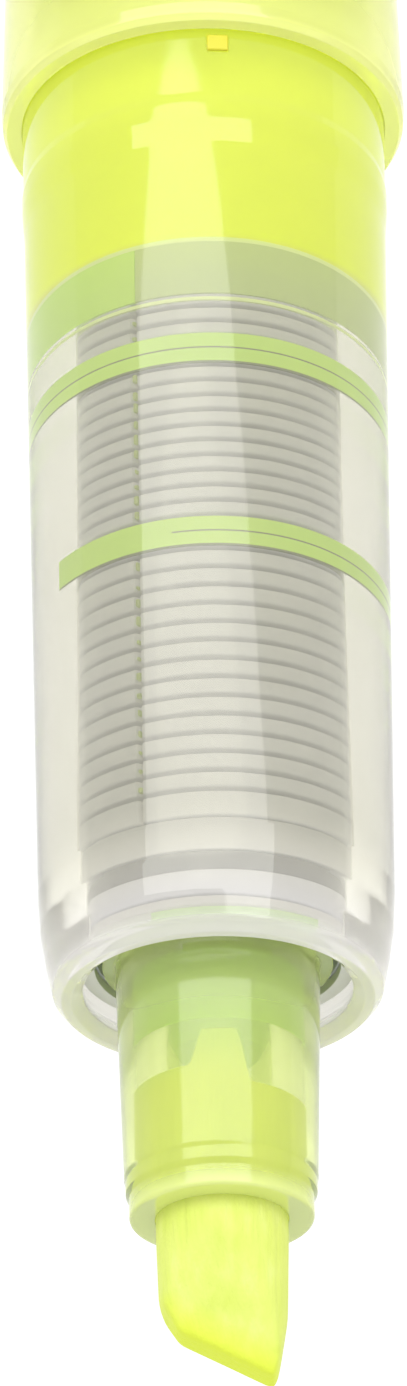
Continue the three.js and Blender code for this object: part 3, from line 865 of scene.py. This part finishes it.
def nib():
    """The chisel: a rod cut on a slant, with a bevel above and below, all softened."""
    rod = turned("nib_tip", [
        (0, 0),
        (0, NIB_RADIUS - NIB_TAPER),
        (NIB_TAPER_END, NIB_RADIUS),
        (SHANK_FRONT, NIB_RADIUS),
        (SHANK_FRONT, 0),
    ], 96)
    shape = bmesh.new()
    shape.from_mesh(rod.data)
    forward = Vector((-math.sin(SLANT), -math.cos(SLANT), 0))
    cut_away(shape, point(POINT_X, 0, 0), forward)
    for x, station, turn in NIB_TRIMS:
        outwards = Vector((math.sin(turn), -math.cos(turn), 0))
        cut_away(shape, point(x, station, 0), outwards)
    for side in (1, -1):
        edge = point(POINT_X, BEVEL_LENGTH, side * NIB_RADIUS)
        slope = forward * math.sin(BEVEL) + Vector((0, 0, side * math.cos(BEVEL)))
        cut_away(shape, edge, slope)
    shape.to_mesh(rod.data)
    shape.free()
    remesh = rod.modifiers.new("even", "REMESH")
    remesh.mode = "VOXEL"
    remesh.voxel_size = VOXEL
    soften = rod.modifiers.new("soften", "SMOOTH")
    soften.factor = 0.6
    soften.iterations = 40
    applied(rod).data.shade_smooth()
    return rod


place(nib(), FIBRE, "carrier", ["nib"])


def smooth(t):
    """A number from 0 to 1 that starts and ends gently."""
    t = min(max(t, 0), 1)
    return t * t * (3 - 2 * t)


TONGUE_ANGLE = 0.5       # half the width of the tongue's foot
TONGUE_FADE = 0.25


def shank_end(angle):
    """The station of the shank's rear end: a long tongue between two shorter sides."""
    turn = (angle + math.pi) % (2 * math.pi) - math.pi
    side = SHANK_LEFT if turn < 0 else SHANK_RIGHT
    rise = smooth((TONGUE_ANGLE - abs(turn)) / TONGUE_FADE)
    return side + (SHANK_TONGUE - side) * rise


def shank():
    """The nib's shank, wet against the holder's bore."""
    radius = SHANK_RADIUS + WET
    count = 96
    verts, faces = [point(0, SHANK_FRONT, 0), point(0, 9.2, 0)], []
    for j in range(count):
        angle = 2 * math.pi * j / count
        x, z = radius * math.sin(angle), radius * math.cos(angle)
        verts += [point(x, SHANK_FRONT, z), point(x, shank_end(angle), z)]
    for j in range(count):
        a, b = 2 + 2 * j, 2 + 2 * ((j + 1) % count)
        faces += [[a, b, b + 1, a + 1], [0, b, a], [1, a + 1, b + 1]]
    return mesh_object("nib_shank", verts, faces)


place(shank(), SHANK, "carrier")
nib_collar = turned("nib_collar", [
    (HOLDER_FRONT + 0.02, NIB_RADIUS - 0.1),
    (HOLDER_FRONT + 0.02, NIB_RADIUS + WET, 0.03),
    (SHANK_FRONT + WET, NIB_RADIUS + WET),
    (SHANK_FRONT + WET, SHANK_RADIUS - 0.1),
], 96)
place(nib_collar, SHANK, "carrier")
core = turned("ink_core", [
    (CORE_FRONT, 0),
    (CORE_FRONT, SHANK_RADIUS - 0.3, 0.1),
    (CORE_FRONT + 0.5, SHANK_RADIUS + WET, 0.3),
    (CORE_BACK, SHANK_RADIUS + WET, 0.2),
    (CORE_BACK + 0.1, 0),
], 64)
place(core, CORE_GREEN, "carrier")
WICK_RADIUS = 1.08
wick = turned("feed_wick_rod", [
    (WICK_FRONT, 0),
    (WICK_FRONT, WICK_RADIUS),
    (back("feed_wick"), WICK_RADIUS),
    (back("feed_wick"), 0),
], 64)
place(wick, FIBRE, "carrier", ["feed_wick"])

# ---- the carrier's inner end ----
ROD_RADIUS = 1.2
PISTON = CORE_BORE - 0.07
CARRIER_SEAL = middle_of("carrier_seal")
piston = turned("carrier_piston_body", [
    (front("carrier_piston"), ROD_RADIUS + 0.05),
    (front("carrier_piston"), PISTON, 0.15),
    (CARRIER_SEAL - SEAL_GROOVE, PISTON, 0.05),
    (CARRIER_SEAL - SEAL_GROOVE, PISTON - SEAL_DEPTH),
    (CARRIER_SEAL + SEAL_GROOVE, PISTON - SEAL_DEPTH),
    (CARRIER_SEAL + SEAL_GROOVE, PISTON, 0.05),
    (back("carrier_piston"), PISTON, 0.15),
    (back("carrier_piston"), ROD_RADIUS + 0.05),
], 96)
place(piston, GREY, "carrier", ["carrier_piston"])
carrier_ring = ring("carrier_ring", CARRIER_SEAL, CORE_BORE - 0.29, 0.25)
place(carrier_ring, RUBBER, "carrier", ["carrier_seal"])
push_rod = turned("push_rod_bar", [
    (front("push_rod"), 0),
    (front("push_rod"), ROD_RADIUS, 0.2),
    (back("push_rod"), ROD_RADIUS, 0.25),
    (back("push_rod"), 0),
], 64)
place(push_rod, GREY, "carrier", ["push_rod"])
COLLAR_RADIUS = 3.28
spring_seat = turned("spring_collar_disc", [
    (front("spring_collar"), ROD_RADIUS + 0.04),
    (front("spring_collar"), COLLAR_RADIUS, 0.15),
    (back("spring_collar"), COLLAR_RADIUS, 0.15),
    (back("spring_collar"), ROD_RADIUS + 0.04),
], 96)
place(spring_seat, GREY, "carrier", ["spring_collar"])

# ---- the tank's tube and plug ----
guide = turned("guide_tube_bar", [
    (front("guide_tube"), 1.28),
    (front("guide_tube"), 1.6, 0.08),
    (back("guide_tube"), 1.6, 0.08),
    (back("guide_tube"), 1.28),
], 64)
place(guide, WHITE, "casing", ["guide_tube"])
TANK_END = front("tank_plug")
PLUG_RADIUS = BARREL_BORE - 0.05
PLUG_SEAL = middle_of("plug_seal")
plug = turned("tank_plug_body", [
    (TANK_END, TUBE_HOLE),
    (TANK_END, 2.2, 0.1),
    (TANK_END + 0.5, 2.5, 0.2),
    (TANK_END + 0.5, 4.4, 0.2),
    (TANK_END, 4.7, 0.1),
    (TANK_END, PLUG_RADIUS, 0.3),
    (PLUG_SEAL - SEAL_GROOVE, PLUG_RADIUS, 0.05),
    (PLUG_SEAL - SEAL_GROOVE, PLUG_RADIUS - SEAL_DEPTH),
    (PLUG_SEAL + SEAL_GROOVE, PLUG_RADIUS - SEAL_DEPTH),
    (PLUG_SEAL + SEAL_GROOVE, PLUG_RADIUS, 0.05),
    (PLUG_END, PLUG_RADIUS, 0.1),
    (PLUG_END, TUBE_HOLE),
])
place(plug, WHITE, "casing", ["tank_plug"])
plug_ring = ring("plug_ring", PLUG_SEAL, BARREL_BORE - 0.29, 0.27)
place(plug_ring, RUBBER, "casing", ["plug_seal"])

# ---- the return spring, which stretches between the plug and the collar ----
WIRE_RADIUS = 0.25
COIL_RADIUS = 2.45
COIL_TURNS = 8


def coil(name, start, end):
    """A coil of round wire with one closed turn at each end."""
    per_turn, around = 40, 12
    dead = 2.2 * WIRE_RADIUS
    pitch = (end - start - 2 * WIRE_RADIUS - 2 * dead) / (COIL_TURNS - 2)
    verts, faces = [], []
    steps = per_turn * COIL_TURNS
    for i in range(steps + 1):
        turns = i / per_turn
        angle = 2 * math.pi * turns
        open_turns = min(max(turns - 1, 0), COIL_TURNS - 2)
        closed_turns = turns - open_turns
        station = start + WIRE_RADIUS + open_turns * pitch + closed_turns * dead
        for k in range(around):
            turn = 2 * math.pi * k / around
            radius = COIL_RADIUS + WIRE_RADIUS * math.cos(turn)
            height = station + WIRE_RADIUS * math.sin(turn)
            verts.append(point(
                radius * math.sin(angle), height, radius * math.cos(angle)))
    for i in range(steps):
        for k in range(around):
            a, b = around * i + k, around * i + (k + 1) % around
            faces.append([a, b, b + around, a + around])
    faces.append(list(range(around)))
    faces.append(list(range(around * steps, around * steps + around)))
    return mesh_object(name, verts, faces)


SPRING_START = PLUG_END + 0.02
SPRING_END = front("spring_collar") - 0.02
spring = coil("spring_coil", SPRING_START, SPRING_END)
spring.data.materials.append(STEEL)
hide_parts("return_spring")
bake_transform(spring)

# ---- the end cap, the button and the clip ----
CAP_BORE = 3.75
HEAD_RADIUS = 3.6
SLEEVE_BORE = 2.6
SLEEVE_MOUTH = 2.0
SLEEVE_RADIUS = 3.3
KEY_FOOT = 3.1           # the button's keys, from inside its sleeve
KEY_TOP = 4.52
KEY_WIDTH = math.radians(25.5)
CAP_JOINT = back("push_button")
cap = turned("end_cap_shell", [
    (front("end_cap"), CAP_BORE + 0.4),
    (front("end_cap"), BARREL_BORE - 0.05, 0.1),
    (BARREL_END + 0.05, BARREL_BORE - 0.05),
    (BARREL_END + 0.05, LIP_RADIUS - 0.02, 0.12),
    (BARREL_END + 0.6, LIP_RADIUS - 0.02, 0.05),
    (BARREL_END + 0.68, LIP_RADIUS - 0.12, 0.05),
    (BARREL_END + 0.82, LIP_RADIUS - 0.12, 0.05),
    (BARREL_END + 0.9, LIP_RADIUS - 0.02, 0.05),
    (CAP_END - 0.9, LIP_RADIUS - 0.04, 0.5),
    (CAP_END - 0.05, LIP_RADIUS - 0.8, 0.4),
    (CAP_END, CAP_BORE + 0.5, 0.2),
    (CAP_END - 0.12, CAP_BORE, 0.1),
    (front("end_cap") + 0.4, CAP_BORE),
])
place(cap, YELLOW, "casing", ["end_cap"])


def prism(name, profile, width, tip_width=None, bevel=0.2):
    """A profile of (station, height) pairs, carried across the pen and softened. It may
    narrow towards its front."""
    stations = [spot[0] for spot in profile]
    span = max(stations) - min(stations)
    verts = []
    for side in (-0.5, 0.5):
        for station, height in profile:
            t = (max(stations) - station) / span
            wide = width + ((tip_width or width) - width) * t
            verts.append(point(side * wide, station, height))
    count = len(profile)
    faces = [list(range(count)), list(range(2 * count - 1, count - 1, -1))]
    for i in range(count):
        j = (i + 1) % count
        faces.append([i, j, j + count, i + count])
    obj = mesh_object(name, verts, faces)
    soften = obj.modifiers.new("soft edges", "BEVEL")
    soften.width = bevel * MM
    soften.segments = 4
    soften.limit_method = "ANGLE"
    soften.angle_limit = math.radians(40)
    return obj


def curve(start, control, end, steps=8):
    """Points along a quadratic curve, without its first."""
    a, b, c = Vector(start), Vector(control), Vector(end)
    found = []
    for i in range(1, steps + 1):
        t = i / steps
        found.append(tuple((1 - t) ** 2 * a + 2 * t * (1 - t) * b + t * t * c))
    return found


CLIP_WIDTH = 4.2
CLIP_UNDER = BARREL_RADIUS + 0.8
CLIP_TOP = CLIP_UNDER + 1.2
CLIP_BUMP = BARREL_RADIUS + 0.2
CLIP_TIP = front("pocket_clip")
CLIP_ROOT = back("pocket_clip")
saddle = prism("clip_saddle", [
    (BARREL_END + 0.06, 5.2),
    (BARREL_END + 0.06, CLIP_TOP - 0.02),
    (CAP_END - 1.6, CLIP_TOP - 0.02),
    (CAP_END - 1.0, CLIP_TOP - 0.6),
    (CAP_END - 1.0, 5.2),
], 3.2)
place(saddle, YELLOW, "casing")
profile = [(CLIP_ROOT, CLIP_TOP), (CLIP_TIP + 2.5, CLIP_TOP)]
profile += curve(
    profile[-1], (CLIP_TIP + 0.7, CLIP_TOP), (CLIP_TIP + 0.05, CLIP_TOP + 0.5))
profile += [(CLIP_TIP + 0.12, CLIP_TOP - 0.2)]
profile += curve(
    profile[-1], (CLIP_TIP + 1.2, CLIP_BUMP), (CLIP_TIP + 2.6, CLIP_BUMP))
profile += curve(profile[-1], (CLIP_TIP + 3.8, CLIP_BUMP), (CLIP_TIP + 5, CLIP_UNDER))
profile += [(CLIP_ROOT, CLIP_UNDER)]
clip = prism("clip_arm", profile, CLIP_WIDTH, CLIP_WIDTH - 0.7, 0.28)
place(clip, YELLOW, "clip", ["pocket_clip"])

BUTTON_FRONT = front("push_button")
KEY_END = BUTTON_FRONT + 8.2   # where the button's keys end
sleeve = turned("button_sleeve", [
    (BUTTON_FRONT, SLEEVE_MOUTH),
    (BUTTON_FRONT, SLEEVE_RADIUS, 0.1),
    (KEY_END - 1, SLEEVE_RADIUS, 0.2),
    (KEY_END - 0.7, HEAD_RADIUS, 0.2),
    (CAP_JOINT, HEAD_RADIUS, 0.08),
    (CAP_JOINT, SLEEVE_BORE),
    (KEY_END, SLEEVE_BORE),
    (KEY_END - 1, SLEEVE_MOUTH),
])
place(sleeve, GREY, "button", ["push_button"])
for i in range(4):
    rib = bent_block(
        f"button_key_{i + 1}", KEY_FOOT, KEY_TOP, i * math.pi / 2, KEY_WIDTH,
        BUTTON_FRONT + 0.2, KEY_END)
    place(rib, GREY, "button")
top = turned("button_top", [
    (front("button_cap"), 0),
    (front("button_cap"), SLEEVE_BORE - 0.05, 0.1),
    (CAP_JOINT + 0.05, SLEEVE_BORE - 0.05),
    (CAP_JOINT + 0.05, HEAD_RADIUS, 0.08),
    (LENGTH - 0.55, HEAD_RADIUS, 0.3),
    (LENGTH, HEAD_RADIUS - 0.75, 0.5),
    (LENGTH, 2.2, 0.5),
    (LENGTH - 0.15, 1.5, 0.6),
    (LENGTH - 0.18, 0),
])
place(top, YELLOW, "button", ["button_cap"])

# ---- carried-over CAD nodes ----
for name, material in (("cam_guide", GREY), ("cam_rotor", YELLOW)):
    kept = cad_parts[name]
    kept.data.materials.clear()
    kept.data.materials.append(material)

# ---- camera ----
# It stands over the nib's end, in line with the pen, and looks down at its middle.
STAND_OFF = 170 * MM
ELEVATION = math.radians(61.5)
AZIMUTH = math.radians(-0.83)
LOOK_STATION = 22.68
SIDE_STEP = -0.29
camera_data = bpy.data.cameras.new("camera")
camera_data.lens = 143.4
camera_data.sensor_width = 36
camera_data.clip_start = 0.01
camera = bpy.data.objects.new("camera", camera_data)
bpy.context.scene.collection.objects.link(camera)
bpy.context.scene.camera = camera
away = Vector((
    math.sin(AZIMUTH) * math.cos(ELEVATION),
    -math.cos(AZIMUTH) * math.cos(ELEVATION),
    math.sin(ELEVATION),
))
target = point(SIDE_STEP, LOOK_STATION, 0)
camera.location = target + away * STAND_OFF
camera.rotation_euler = (-away).to_track_quat("-Z", "Y").to_euler()

# ---- floor and light ----
floor_mesh = bpy.data.meshes.new("floor")
floor_mesh.from_pydata(
    [(-3, -3, 0), (3, -3, 0), (3, 3, 0), (-3, 3, 0)], [], [(0, 1, 2, 3)])
floor = bpy.data.objects.new("floor", floor_mesh)
bpy.context.scene.collection.objects.link(floor)
floor_look = Look("floor", (0.2, 0.2, 0.2), 0.9)
floor_look.vary_color([(0.3, (0.2, 0.2, 0.2)), (0.7, (0.19, 0.19, 0.19))], 3)
floor_look.set("Emission Color", (1, 1, 1, 1))
floor_look.set("Emission Strength", 0.9)
floor_mesh.materials.append(floor_look.material)

world = bpy.data.worlds.new("studio")
bpy.context.scene.world = world
world.use_nodes = True
background = world.node_tree.nodes["Background"]
background.inputs["Color"].default_value = (1, 1, 1, 1)
background.inputs["Strength"].default_value = 1.0


def softbox(name, x, y, height, width, depth, turn, radiance):
    """A rectangular light that faces straight down. Places are in metres."""
    data = bpy.data.lights.new(name, "AREA")
    data.shape = "RECTANGLE"
    data.size = width
    data.size_y = depth
    data.energy = radiance * math.pi * width * depth
    light = bpy.data.objects.new(name, data)
    bpy.context.scene.collection.objects.link(light)
    light.location = (x, y, AXIS_Z + height)
    light.rotation_euler = (0, 0, turn)
    return light


# The box's rear left corner, as it stands one metre above the pen.
TURN = math.radians(-9.5)
CORNER = Vector((-0.97, 0.775))
BOX_WIDTH = 1.75
BOX_DEPTH = 0.6
across = Vector((math.cos(TURN), math.sin(TURN)))
forwards = Vector((math.sin(TURN), -math.cos(TURN)))
middle = CORNER + across * BOX_WIDTH / 2 + forwards * BOX_DEPTH / 2
softbox("softbox", middle.x, middle.y, 1, BOX_WIDTH, BOX_DEPTH, TURN, 3)

# Clear walls guide light a long way, so paths through them are followed further.
scene = bpy.context.scene
scene.cycles.max_bounces = 32
scene.cycles.glossy_bounces = 24
scene.cycles.transmission_bounces = 32
scene.view_settings.view_transform = "Standard"
